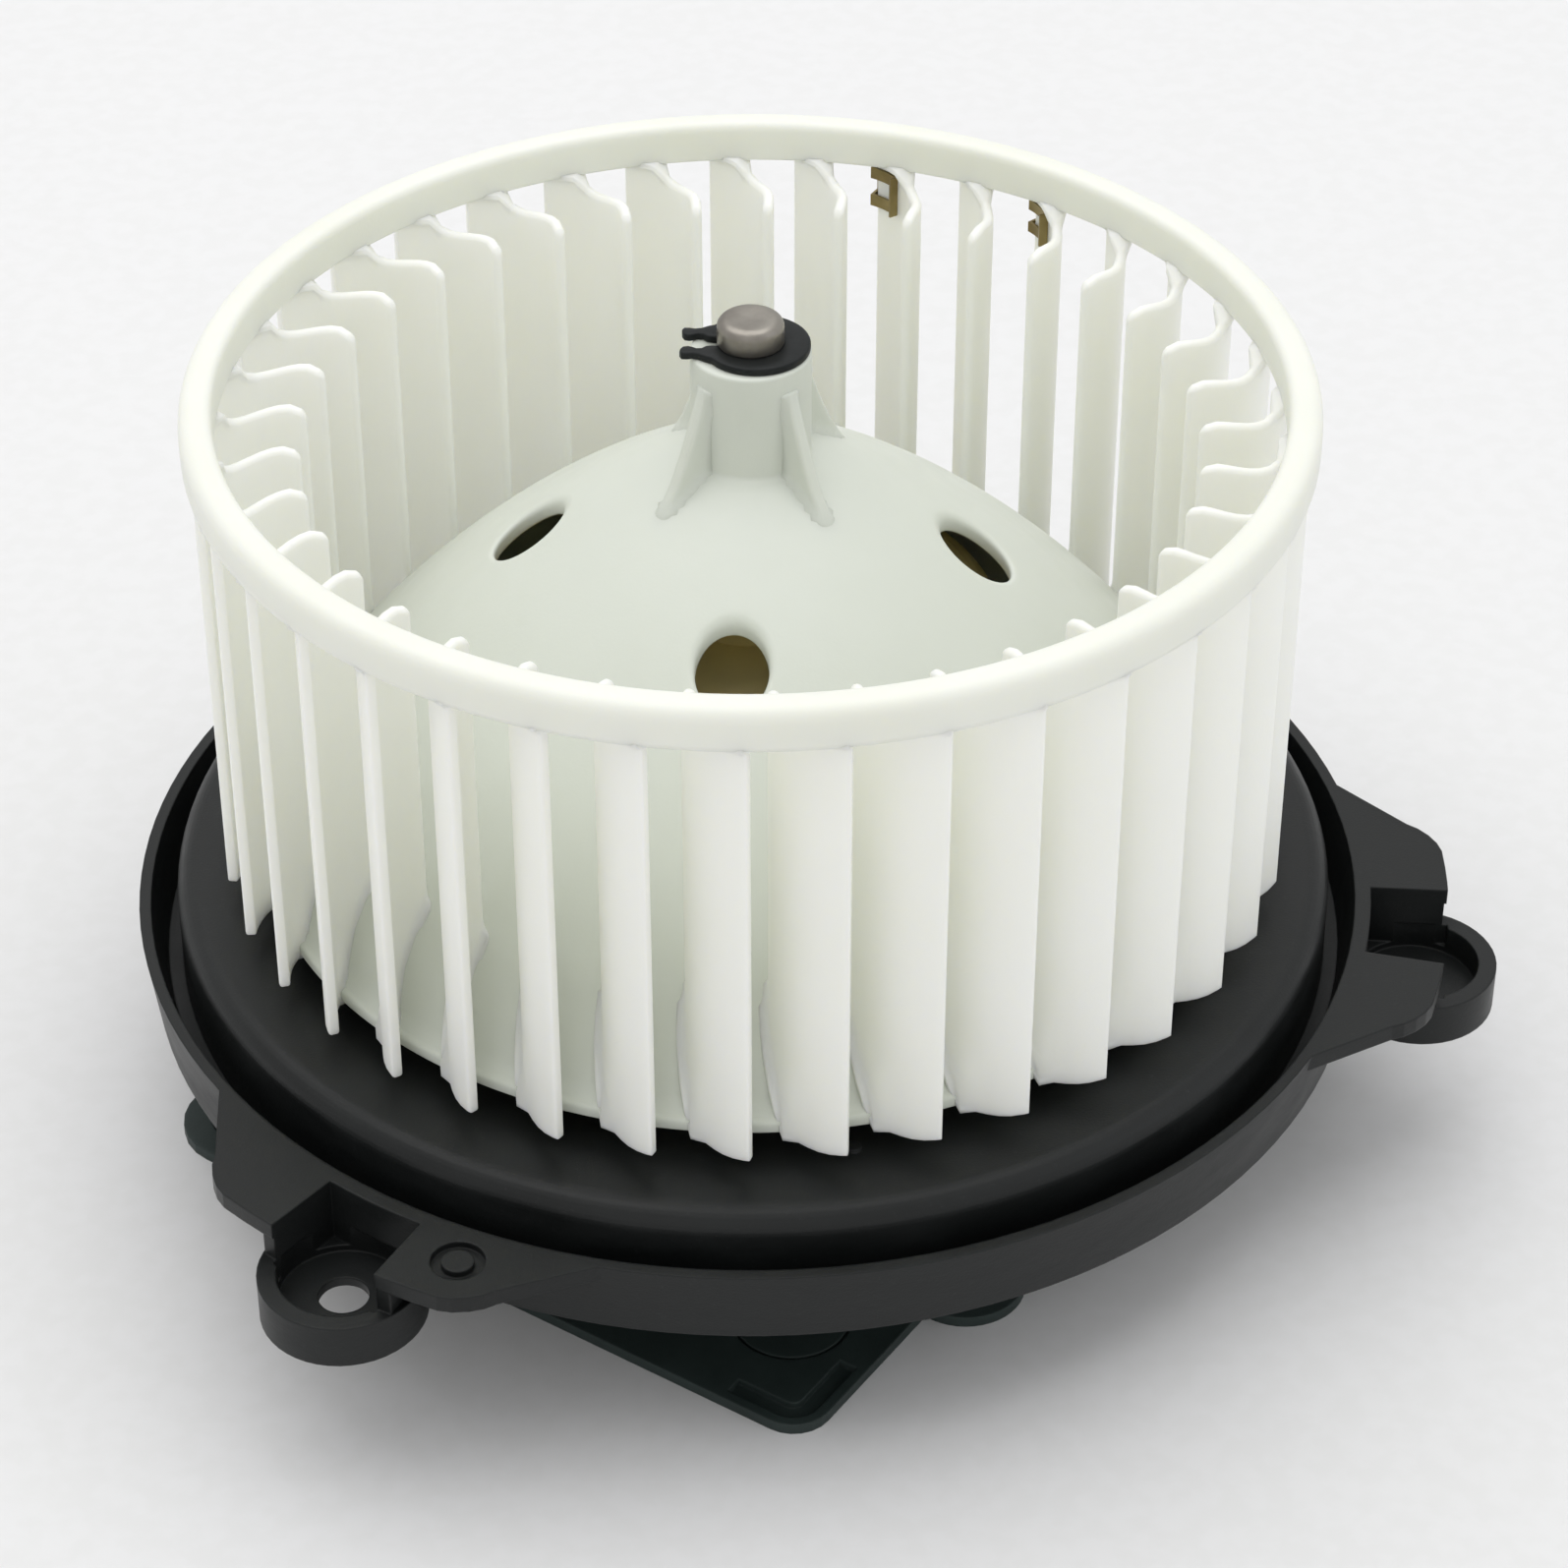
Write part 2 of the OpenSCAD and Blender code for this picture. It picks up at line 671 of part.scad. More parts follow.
module brush_card() {
    outer = [brush_size.y + 2 * (holder_wall + brush_fit), brush_size.z + holder_wall + brush_fit];
    color(fibre) difference() {
        union() {
            translate([0, 0, card_z[0]])
                cylinder(r = can_r - can_t - 0.5, h = card_z[1] - card_z[0], $fn = 120);
            for (s = [0, 1]) mirror([s, 0, 0])
                translate([holder_x[0], -outer[0] / 2, card_z[1] - eps])
                    cube([holder_x[1] + holder_wall - holder_x[0], outer[0],
                        brush_z - card_z[1] + outer[1]]);
        }
        translate([0, 0, -30]) cylinder(r = 11.9, h = 40, $fn = 60);
        for (s = [0, 1]) mirror([s, 0, 0])
            translate([0, -brush_size.y / 2 - brush_fit, brush_z - brush_fit])
                cube([holder_x[1], brush_size.y + 2 * brush_fit, brush_size.z + 2 * brush_fit]);
    }
}

module brush() {
    color(carbon) difference() {
        translate([brush_face_r - 1, -brush_size.y / 2, brush_z])
            cube([brush_size.x + 1, brush_size.y, brush_size.z]);
        translate([0, 0, -30]) cylinder(r = brush_face_r, h = 40, $fn = 90);
    }
}

module brush_left() {
    mirror([1, 0, 0]) brush();
}

module brush_right() {
    brush();
}

// Compression spring along +X: a round wire swept along a helix
module helix_spring(x0, x1, coil_r, wire_r, turns) {
    sides = 6;
    steps = turns * 16;
    function ring(i) = let (a = 360 * turns * i / steps,
        x = x0 + wire_r + (x1 - x0 - 2 * wire_r) * i / steps)
        [for (j = [0:sides - 1]) let (b = 360 * j / sides, r = coil_r + wire_r * cos(b))
            [x + wire_r * sin(b), r * cos(a), r * sin(a)]];
    pts = [for (i = [0:steps]) each ring(i)];
    skin = [for (i = [0:steps - 1]) for (j = [0:sides - 1])
        [i * sides + j, i * sides + (j + 1) % sides,
            (i + 1) * sides + (j + 1) % sides, (i + 1) * sides + j]];
    ends = [[for (j = [sides - 1:-1:0]) j], [for (j = [0:sides - 1]) steps * sides + j]];
    polyhedron(points = pts, faces = concat(skin, ends), convexity = 8);
}

module brush_spring() {
    color(steel) translate([0, 0, brush_z + brush_size.z / 2])
        helix_spring(brush_face_r + brush_size.x + 0.02, holder_x[1] - 0.02, 1.9, 0.3, 5);
}

module brush_spring_left() {
    mirror([1, 0, 0]) brush_spring();
}

module brush_spring_right() {
    brush_spring();
}

// Ferrite rod with a close-wound coil, lying on the brush card
module choke(y) {
    rod = [2, 14];
    wire = 0.9;
    turns = 9;
    coil_r = rod[0] + wire;
    color(copper) translate([-rod[1] / 2, y, card_z[1] + coil_r + 0.02]) rotate([0, 90, 0])
        rotate_extrude($fn = 40) polygon(concat([[0, 0], [rod[0], 0]],
            [for (i = [0:turns - 1]) for (p = [[0, 0.05], [1, 0.3], [1, 0.7], [0, 0.95]])
                [rod[0] + wire * p.x, 2 + (rod[1] - 4) * (i + p.y) / turns]],
            [[rod[0], rod[1]], [0, rod[1]]]));
}

module choke_front() {
    choke(-20);
}

module choke_rear() {
    choke(20);
}

connector_size = [20, 20, 14];
connector_z = -25.4;
terminal_y = 4.2;
terminal_size = [24, 6.3, 0.8];

// Flat blade from the brush card out into the connector
module terminal(side) {
    inner_end = 26;
    color(brass) rotate(connector_az)
        translate([inner_end, side * terminal_y - terminal_size.y / 2, card_z[0] - terminal_size.z])
            cube(terminal_size);
}

module terminal_positive() {
    terminal(1);
}

module terminal_negative() {
    terminal(-1);
}

// Socket on the motor cup's side, open away from the axis
module connector_housing() {
    wall = 1.1;
    inner_end = motor_cup_r[0] + 0.3;
    socket_depth = 13;
    slot_gap = 0.2;
    color(black_plastic) rotate(connector_az) difference() {
        translate([inner_end, -connector_size.y / 2, connector_z]) cube(connector_size);
        translate([inner_end + connector_size.x - socket_depth, -connector_size.y / 2 + wall,
            connector_z + wall]) cube([socket_depth + 1, connector_size.y - 2 * wall,
            connector_size.z - 2 * wall]);
        for (s = [-1, 1]) translate([20, s * terminal_y - terminal_size.y / 2 - slot_gap,
            card_z[0] - terminal_size.z - slot_gap])
                cube([30, terminal_size.y + 2 * slot_gap, terminal_size.z + 2 * slot_gap]);
    }
}

// Rubber ring between the can and the flange's motor cup
module isolator(z, h) {
    r_in = can_r + 0.05;
    r_out = motor_cup_r[0] - 0.05;
    edge = 0.8;
    color(rubber) rotate_extrude($fn = 120) polygon([[r_in, z], [r_out - edge, z], [r_out, z + edge],
        [r_out, z + h - edge], [r_out - edge, z + h], [r_in, z + h]]);
}

module isolator_upper() {
    isolator(-4, 7);
}

module isolator_lower() {
    isolator(cup_floor_z[1] + 0.02, 3.4);
}

// Screw driven upwards from z = 0; its head tapers to neck_r
module screw(head_r, neck_r, head_h, shank_r, length) {
    cross = [0.8, 0.35];
    difference() {
        union() {
            translate([0, 0, -head_h]) cylinder(r1 = head_r, r2 = neck_r, h = head_h, $fn = 40);
            translate([0, 0, -eps]) cylinder(r = shank_r, h = length, $fn = 32);
        }
        for (a = [0, 90]) rotate(a) translate([-head_r * 0.6, -cross[1], -head_h - 1])
            cube([head_r * 1.2, 2 * cross[1], 1 + cross[0]]);
    }
}

module motor_screws() {
    color(steel) for (a = motor_screw_az) rotate(a)
        translate([motor_screw_r, 0, cup_floor_z[0]]) screw(3.5, 3.2, 1.6, 1.93, 6.5);
}

// ---- Base cover ----

screw_head = [3, 1.2];
// Outline of the cover, counterclockwise, on its own axes, set in by a distance
function cover_points(inset) = concat(
    arc([52.7, 41.5], 5 - inset, 0, 90, 6),
    arc([-42, 38.5], 8 - inset, 90, 180, 6),
    arc([-42, -45.3], 8 - inset, 180, 270, 6),
    arc([49.8, -45.3], 8 - inset, 270, 360, 6));

module base_cover() {
    lobe_r = 7.6;
    slot = [1.3, 3.7];
    slot_from = [44.5, 34.5];
    seam = [7.1, 7.5];
    seam_d = 0.5;
    seam_at = [41.5, 33.7];
    upstand = 3.2;
    bottom = -cover_d - cover_t;
    color(black_plastic) rotate(cover_az) difference() {
        union() {
            translate([0, 0, bottom]) linear_extrude(height = cover_t) polygon(cover_points(0));
            translate([posts[1].x, posts[1].y, bottom]) cylinder(r = lobe_r, h = cover_t, $fn = 60);
            translate([0, 0, -cover_d - eps]) difference() {
                cylinder(r = motor_cup_r[1], h = cover_d + cup_floor_z[0] - 0.02, $fn = 120);
                translate([0, 0, -1]) cylinder(r = motor_cup_r[1] - upstand, h = 20, $fn = 120);
            }
        }
        translate([0, 0, bottom + 0.6]) linear_extrude(height = 20) intersection() {
            difference() {
                polygon(cover_points(slot[0]));
                polygon(cover_points(slot[1]));
            }
            translate(slot_from) square(20);
        }
        translate([seam_at.x, seam_at.y, -cover_d - seam_d]) difference() {
            cylinder(r = seam[1], h = 2, $fn = 60);
            translate([0, 0, -1]) cylinder(r = seam[0], h = 4, $fn = 60);
        }
        for (p = posts) translate([p.x, p.y, bottom - 1]) {
            cylinder(r = 2, h = 10, $fn = 40);
            cylinder(r1 = screw_head[0] + 1.2, r2 = 2, h = 1 + cover_t - 0.2, $fn = 40);
        }
    }
}

module cover_screws() {
    color(steel) rotate(cover_az) for (p = posts)
        translate([p.x, p.y, -cover_d - 0.1]) screw(screw_head[0], 1.65, screw_head[1], 1.6, 12);
}

wheel_rim();
wheel_blades();
wheel_hub();
shaft();
circlip();
drive_pin();
balance_clip_large();
balance_clip_small();
armature_core();
armature_windings();
commutator();
thrust_washer_upper();
thrust_washer_lower();
flange();
motor_can();
magnet_front();
magnet_rear();
magnet_spring_left();
magnet_spring_right();
bearing_upper();
bearing_retainer_upper();
end_plate();
bearing_lower();
thrust_pad();
brush_card();
brush_left();
brush_right();
brush_spring_left();
brush_spring_right();
choke_front();
choke_rear();
terminal_positive();
terminal_negative();
connector_housing();
isolator_upper();
isolator_lower();
motor_screws();
base_cover();
cover_screws();
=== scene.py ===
import json
import math

import bmesh
import bpy
import mathutils
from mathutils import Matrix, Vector


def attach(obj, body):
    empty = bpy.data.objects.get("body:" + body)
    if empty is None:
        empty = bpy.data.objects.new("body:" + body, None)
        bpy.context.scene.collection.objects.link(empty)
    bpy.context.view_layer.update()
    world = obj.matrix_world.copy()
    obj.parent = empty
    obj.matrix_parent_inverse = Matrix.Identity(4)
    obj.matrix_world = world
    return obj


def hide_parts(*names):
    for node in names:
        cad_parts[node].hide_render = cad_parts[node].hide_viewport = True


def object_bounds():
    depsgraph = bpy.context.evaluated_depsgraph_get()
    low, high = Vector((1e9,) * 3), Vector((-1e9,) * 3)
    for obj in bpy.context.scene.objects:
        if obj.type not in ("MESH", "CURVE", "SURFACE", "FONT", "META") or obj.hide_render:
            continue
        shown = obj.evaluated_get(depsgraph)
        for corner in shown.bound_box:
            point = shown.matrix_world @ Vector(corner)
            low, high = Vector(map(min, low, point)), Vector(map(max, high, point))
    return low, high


MM = 0.001
WHITE = (1.0, 1.0, 1.0, 1.0)

# Camera: above and in front of the unit, looking down at the wheel's eye. Angles are degrees.
CAMERA_AT = (0.0, -449.1 * MM, 345.05 * MM)
CAMERA_PITCH = 36.54
CAMERA_YAW = 0.50
CAMERA_LENS = 101.7
SENSOR_WIDTH = 36.0


def make_camera():
    data = bpy.data.cameras.new("camera")
    data.lens = CAMERA_LENS
    data.sensor_width = SENSOR_WIDTH
    data.clip_start = 0.01
    cam = bpy.data.objects.new("camera", data)
    cam.location = CAMERA_AT
    cam.rotation_euler = (math.radians(90 - CAMERA_PITCH), 0, math.radians(-CAMERA_YAW))
    bpy.context.scene.collection.objects.link(cam)
    bpy.context.scene.camera = cam


make_camera()
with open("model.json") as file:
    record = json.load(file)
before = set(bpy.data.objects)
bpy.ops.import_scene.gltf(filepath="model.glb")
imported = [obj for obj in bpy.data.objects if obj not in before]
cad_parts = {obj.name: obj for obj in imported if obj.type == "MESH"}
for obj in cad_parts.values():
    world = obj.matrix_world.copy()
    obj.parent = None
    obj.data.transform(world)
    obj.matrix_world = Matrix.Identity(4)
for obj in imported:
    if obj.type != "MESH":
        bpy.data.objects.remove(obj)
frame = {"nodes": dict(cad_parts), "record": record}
cad_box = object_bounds()
nodes = frame["nodes"]


# ---- Materials ----
# Noise scales are per metre of the object's own coordinates.

class Graph:
    """A material's node tree with short calls for the nodes used here."""

    def __init__(self, name):
        self.material = bpy.data.materials.new(name)
        self.material.use_nodes = True
        self.tree = self.material.node_tree
        self.shader = self.tree.nodes["Principled BSDF"]
        self.coords = self.node("ShaderNodeTexCoord").outputs["Object"]

    def node(self, kind, **values):
        made = self.tree.nodes.new(kind)
        for key, value in values.items():
            setattr(made, key, value)
        return made

    def feed(self, socket, value):
        if isinstance(value, bpy.types.NodeSocket):
            self.tree.links.new(value, socket)
        else:
            socket.default_value = value

    def stretch(self, scale):
        """Object coordinates scaled by axis; a large scale makes the streaks short that way."""
        made = self.node("ShaderNodeMapping")
        self.feed(made.inputs["Vector"], self.coords)
        made.inputs["Scale"].default_value = scale
        return made.outputs["Vector"]

    def noise(self, scale, detail, rough=0.5, vector=None):
        made = self.node("ShaderNodeTexNoise")
        self.feed(made.inputs["Vector"], vector or self.coords)
        made.inputs["Scale"].default_value = scale
        made.inputs["Detail"].default_value = detail
        made.inputs["Roughness"].default_value = rough
        return made.outputs["Fac"]

    def ramp(self, value, low, high, a, b):
        """Maps the range low..high to a..b."""
        made = self.node("ShaderNodeMapRange")
        self.feed(made.inputs["Value"], value)
        for key, number in zip(("From Min", "From Max", "To Min", "To Max"), (low, high, a, b)):
            made.inputs[key].default_value = number
        return made.outputs["Result"]

    def mix(self, factor, a, b):
        made = self.node("ShaderNodeMix", data_type="RGBA")
        self.feed(made.inputs["Factor"], factor)
        self.feed(made.inputs["A"], a)
        self.feed(made.inputs["B"], b)
        return made.outputs["Result"]

    def soft_edges(self, radius):
        """Shading normal that rounds the sharp edges of a moulding."""
        made = self.node("ShaderNodeBevel", samples=6)
        made.inputs["Radius"].default_value = radius
        return made.outputs["Normal"]

    def bump(self, height, distance, strength, after=None):
        made = self.node("ShaderNodeBump")
        self.feed(made.inputs["Height"], height)
        made.inputs["Distance"].default_value = distance
        made.inputs["Strength"].default_value = strength
        if after is not None:
            self.feed(made.inputs["Normal"], after)
        return made.outputs["Normal"]

    def set(self, **values):
        """Feeds the shader's sockets by name and gives the material."""
        for key, value in values.items():
            self.feed(self.shader.inputs[key.replace("_", " ")], value)
        return self.material


def rgb(r, g, b):
    """Linear colour with full alpha."""
    return (r, g, b, 1.0)


def moulded_ivory(name, light, dark, glow):
    """Natural polypropylene: slightly cloudy, satin, and a little light passes through it."""
    g = Graph(name)
    clouds = g.ramp(g.noise(45, 4), 0.35, 0.68, 0, 1)
    grain = g.noise(2600, 2)
    ripple = g.noise(260, 3)
    skin = g.bump(grain, 0.03 * MM, 0.35, g.bump(ripple, 0.12 * MM, 0.35))
    return g.set(Base_Color=g.mix(clouds, light, dark), Roughness=g.ramp(ripple, 0.3, 0.7, 0.36, 0.5),
                 Subsurface_Weight=glow, Subsurface_Radius=(1.0, 0.95, 0.75), Subsurface_Scale=3.5 * MM,
                 Specular_IOR_Level=0.42, Normal=skin)


def moulded_black(name, base, low, high):
    """Black filled nylon with fine spark grain, flow marks and a trace of dust."""
    g = Graph(name)
    grain = g.noise(3200, 2)
    flow = g.noise(70, 4, 0.6, g.stretch((1, 1, 2.5)))
    dust = g.ramp(g.noise(900, 5, 0.7), 0.6, 0.75, 0, 0.35)
    skin = g.bump(grain, 0.04 * MM, 0.5, g.bump(flow, 0.3 * MM, 0.3, g.soft_edges(0.4 * MM)))
    worn = rgb(*(1.5 * c for c in base[:3]))
    plastic = g.mix(g.ramp(flow, 0.35, 0.7, 0, 1), base, worn)
    return g.set(Base_Color=g.mix(dust, plastic, rgb(0.03, 0.031, 0.032)),
                 Roughness=g.ramp(flow, 0.3, 0.7, low, high),
                 Specular_IOR_Level=0.3, Normal=skin)


def metal(name, a, b, low, high, metallic=1.0, scale=120, stretch=(1, 1, 1), depth=0.05 * MM,
          level=0.5):
    """Metal with drawn or ground streaks, short along the axes that stretch scales up."""
    g = Graph(name)
    lines = g.noise(scale, 5, 0.65, g.stretch(stretch))
    stain = g.noise(180, 4)
    return g.set(Base_Color=g.mix(g.ramp(stain, 0.35, 0.65, 0, 1), a, b), Metallic=metallic,
                 Roughness=g.ramp(lines, 0.3, 0.7, low, high), Specular_IOR_Level=level,
                 Normal=g.bump(lines, depth, 0.4))


def matt(name, a, b, rough):
    """Matt sintered, pressed or rubber surface with a mottled tone."""
    g = Graph(name)
    speck = g.noise(600, 5, 0.7)
    return g.set(Base_Color=g.mix(g.ramp(speck, 0.35, 0.65, 0, 1), a, b), Roughness=rough,
                 Normal=g.bump(speck, 0.08 * MM, 0.6))


def make_materials():
    return {
        # Rim, blades and hub are one natural polypropylene moulding, painted in three tones. The rim's
        # tone is darker as painted shade, which holds down its face lit from above by the ceiling
        # light.
        "rim_plastic": moulded_ivory(
            "rim_plastic", rgb(0.82, 0.83, 0.77), rgb(0.80, 0.81, 0.74), 0.45),
        # The blades' tone is lighter as painted light, for their faces in the shade of the rim and the
        # hub.
        "ivory_plastic": moulded_ivory(
            "ivory_plastic", rgb(0.95, 0.955, 0.88), rgb(0.93, 0.935, 0.85), 0.6),
        # The hub's tone is darker and greyer as painted shade, for its dome and boss in the shade of
        # the blades.
        "hub_plastic": moulded_ivory(
            "hub_plastic", rgb(0.675, 0.705, 0.64), rgb(0.655, 0.685, 0.615), 0.1),
        "black_plastic": moulded_black("black_plastic", rgb(0.007, 0.008, 0.008), 0.36, 0.5),
        # A lighter copy of the black plastic: the lighter tone is painted light, for the cover's top in
        # the shade under the flange.
        "cover_black_painted_light": moulded_black("cover_black_painted_light", rgb(0.022, 0.032, 0.030), 0.42, 0.55),
        "ground_steel": metal(
            "ground_steel", rgb(0.34, 0.32, 0.285), rgb(0.24, 0.22, 0.195), 0.3, 0.45,
            stretch=(8, 8, 60)),
        "black_spring_steel": metal(
            "black_spring_steel", rgb(0.014, 0.016, 0.016), rgb(0.009, 0.011, 0.011), 0.35, 0.55,
            metallic=0.1, level=0.2),
        "clip_brass": metal("clip_brass", rgb(0.30, 0.24, 0.11), rgb(0.20, 0.15, 0.06), 0.3, 0.5),
        "lamination_steel": metal(
            "lamination_steel", rgb(0.35, 0.35, 0.36), rgb(0.28, 0.27, 0.27), 0.35, 0.5,
            scale=40, stretch=(1, 1, 60), depth=0.2 * MM),
        "enamelled_copper": metal(
            "enamelled_copper", rgb(0.55, 0.22, 0.08), rgb(0.42, 0.15, 0.05), 0.2, 0.35,
            scale=60, stretch=(1, 1, 20)),
        "fibre": matt("fibre", rgb(0.22, 0.12, 0.05), rgb(0.16, 0.08, 0.03), 0.7),
        # Yellow chromate is the can's own colour. Its tone is raised to full brightness and kept mostly
        # non-metallic as painted light, for the light that passes through the translucent hub and its
        # vents into the dome.
        "chromate_steel": metal(
            "chromate_steel", rgb(1.0, 0.86, 0.44), rgb(0.94, 0.80, 0.42), 0.45, 0.6, metallic=0.15),
        "ferrite": matt("ferrite", rgb(0.03, 0.03, 0.033), rgb(0.05, 0.05, 0.055), 0.55),
        "sintered_bronze": metal(
            "sintered_bronze", rgb(0.36, 0.24, 0.11), rgb(0.26, 0.17, 0.08), 0.45, 0.65),
        "carbon": matt("carbon", rgb(0.02, 0.02, 0.021), rgb(0.035, 0.035, 0.036), 0.5),
        "rubber": matt("rubber", rgb(0.012, 0.012, 0.012), rgb(0.02, 0.02, 0.02), 0.7),
    }


materials = make_materials()


def paint(obj, material):
    obj.data.materials.clear()
    obj.data.materials.append(material)


def add_bevel(obj, width):
    """Rounds the sharp edges of a carried-over CAD node."""
    made = obj.modifiers.new("edges", "BEVEL")
    made.width = width
    made.segments = 3
    made.limit_method = "ANGLE"
    made.angle_limit = math.radians(40)
    made.harden_normals = False


slot_of = {row["node"]: row["material_slot"] for row in frame["record"]["subparts"]}
for node_name, obj in nodes.items():
    paint(obj, materials[slot_of[node_name]])
# The base cover gets the lighter black copy, as painted light in the shade under the flange.
paint(nodes["base_cover"], materials["cover_black_painted_light"])
for node_name in ("balance_clip_large", "balance_clip_small"):
    add_bevel(nodes[node_name], 0.08 * MM)


# ---- Wheel, circlip and shaft: every edge is rounded and every moulded joint has a fillet ----
# Sizes in this section are millimetres and degrees, as in the CAD model.

# Rim ring on top of the blades
RIM_R = 67.5
RIM_INNER_R = 63.5
RIM_Z = 66.4
RIM_H = 5.4
# Blades: outer and inner edge radius, how far the inner edge lags, and the bow's radius
BLADE_COUNT = 37
BLADE_RO = 66.7
BLADE_RI = 53.5
BLADE_LAG = 6.8
BLADE_ARC_R = 10.35
BLADE_T = 1.35
BLADE_Z = 7.2
BLADE_PHASE = -90.37
# The outer corner of a blade's foot: how far in it starts and how much it rises
FOOT_CORNER = 2.4
FOOT_RISE = 1.4
# Hub: lip, wall thickness, and the dome as an arc in the half section
HUB_R = 62.1
HUB_Z = 7.9
HUB_T = 2.0
LIP_TOP_Z = 9.7
DOME_C = (-62.4, -68.6)
DOME_R = 148.3
DOME_EDGE_R = 50.0
# The hub's wall below the dome as (r, z)
HUB_WALL = [(54.5, 22.7), (56.6, 19.6), (58.4, 16.2), (59.5, 13.2), (60.0, 11.6), (60.6, 10.5),
            (61.3, 9.9)]
# Boss, and the fillet at its root
BOSS_R = 7.2
BOSS_Z = 76.0
BOSS_BASE_Z = 54.0
BOSS_FILLET = 0.8
BORE_R = 4.03
# Round vents in the dome
VENT_R = 4.35
VENT_PITCH_R = 27.1
VENT_AZ = (-95, -5, 85, 175)
VENT_SEGMENTS = 48
# Gussets, and the outer edge of one as (r, z)
GUSSET_AZ = (-140, -50, 40, 130)
GUSSET_T = 1.7
GUSSET_TOP = 73.4
GUSSET_EDGE = [(7.6, 73.4), (9.1, 69.1), (10.6, 65.2), (12.2, 61.7), (14.4, 58.2), (15.2, 57.0)]
# Circlip, whose ring is eccentric, and one of its ears as (x, y)
CLIP_Z = (76.02, 76.98)
CLIP_R = 6.4
CLIP_BORE_R = 3.8
CLIP_OFFSET_X = 0.7
CLIP_LEAN = -3
CLIP_HALF_GAP = 0.95
CLIP_EDGE = 0.2
CLIP_EAR = [(-5.1, 3.55), (-6.0, 3.0), (-6.7, 2.85), (-7.4, 3.0), (-8.0, 2.95), (-8.25, 2.5),
            (-8.2, 1.9), (-7.9, 1.35), (-7.3, 1.2), (-6.8, 1.35), (-6.3, 1.65), (-5.7, 1.6),
            (-5.2, 1.1), (-4.4, CLIP_HALF_GAP)]
# Shaft: ends, circlip groove, bottom chamfer and top shoulder
SHAFT_R = 4.0
SHAFT_Z = (-22.9, 80.2)
SHAFT_GROOVE_R = 3.72
SHAFT_GROOVE_Z = (76.0, 77.1)
SHAFT_CHAMFER = 0.7
SHAFT_SHOULDER = 1.2
# Steps round a full turn of a turned shape
SEGMENTS = 222


def polar(r, degrees):
    a = math.radians(degrees)
    return (r * math.cos(a), r * math.sin(a))


def turned(x, y, z, turn):
    """A point in metres, from millimetres and a turn about the axis in radians."""
    return (MM * (x * math.cos(turn) - y * math.sin(turn)),
            MM * (x * math.sin(turn) + y * math.cos(turn)), MM * z)


def dome_z(r, inset=0.0):
    """Height of the dome at a radius, or of the surface that lies inset below it."""
    return DOME_C[1] + math.sqrt((DOME_R - inset) ** 2 - (r - DOME_C[0]) ** 2)


def hub_face(inset=0.0):
    """Half section of the hub's face from the dome's edge down to the lip."""
    radii = [DOME_EDGE_R + i * 0.9 for i in range(5)]
    return ([(r - inset, dome_z(r - inset, inset)) for r in radii]
            + [(r - inset, z) for r, z in HUB_WALL])


def fillet(distance, radius):
    """What a fillet of that radius adds at a distance from the face that it meets."""
    if distance >= radius:
        return 0.0
    return radius - math.sqrt(radius ** 2 - (radius - max(distance, 0.0)) ** 2)


def round_edge(distance, half, radius=None):
    """Half thickness at a distance from an edge, which is full round unless a radius is given."""
    radius = radius or half
    if distance >= radius:
        return half
    return half - radius + math.sqrt(max(radius ** 2 - (radius - distance) ** 2, 0.0))


def rounded(corners, steps=5):
    """Closed outline from (x, y, radius) corners, with each corner rounded by a fair curve."""
    outline = []
    for k, (x, y, radius) in enumerate(corners):
        if radius == 0:
            outline.append((x, y))
            continue
        corner = Vector((x, y))
        before = (Vector(corners[k - 1][:2]) - corner).normalized() * radius
        after = (Vector(corners[(k + 1) % len(corners)][:2]) - corner).normalized() * radius
        for i in range(steps + 1):
            t = i / steps
            point = corner + before * (1 - t) ** 2 + after * t ** 2
            outline.append((point.x, point.y))
    return outline


def add_band(bm, low, high):
    """Joins two closed rings of as many vertices with faces."""
    for k in range(len(low)):
        n = (k + 1) % len(low)
        bm.faces.new((low[k], low[n], high[n], high[k]))


def add_revolve(bm, profile, closed=True):
    """Turns a half section in (r, z) round the axis."""
    rings = [[bm.verts.new((*polar(r * MM, 360 * k / SEGMENTS), z * MM)) for k in range(SEGMENTS)]
             for r, z in profile]
    for low, high in zip(rings, rings[1:] + rings[:1] if closed else rings[1:]):
        add_band(bm, low, high)


def add_sheet(bm, columns, place):
    """A plate from columns of (u, v, half thickness); place(u, v, offset) gives its points."""
    front, back = [[[bm.verts.new(place(u, v, side * half)) for u, v, half in column]
                    for column in columns] for side in (1, -1)]
    nu, nv = len(columns), len(columns[0])
    for i in range(nu - 1):
        for j in range(nv - 1):
            bm.faces.new((front[i][j], front[i][j + 1], front[i + 1][j + 1], front[i + 1][j]))
            bm.faces.new((back[i][j], back[i + 1][j], back[i + 1][j + 1], back[i][j + 1]))
    border = ([(i, 0) for i in range(nu - 1)] + [(nu - 1, j) for j in range(nv - 1)]
              + [(i, nv - 1) for i in range(nu - 1, 0, -1)] + [(0, j) for j in range(nv - 1, 0, -1)])
    for (i, j), (k, m) in zip(border, border[1:] + border[:1]):
        bm.faces.new((front[i][j], front[k][m], back[k][m], back[i][j]))


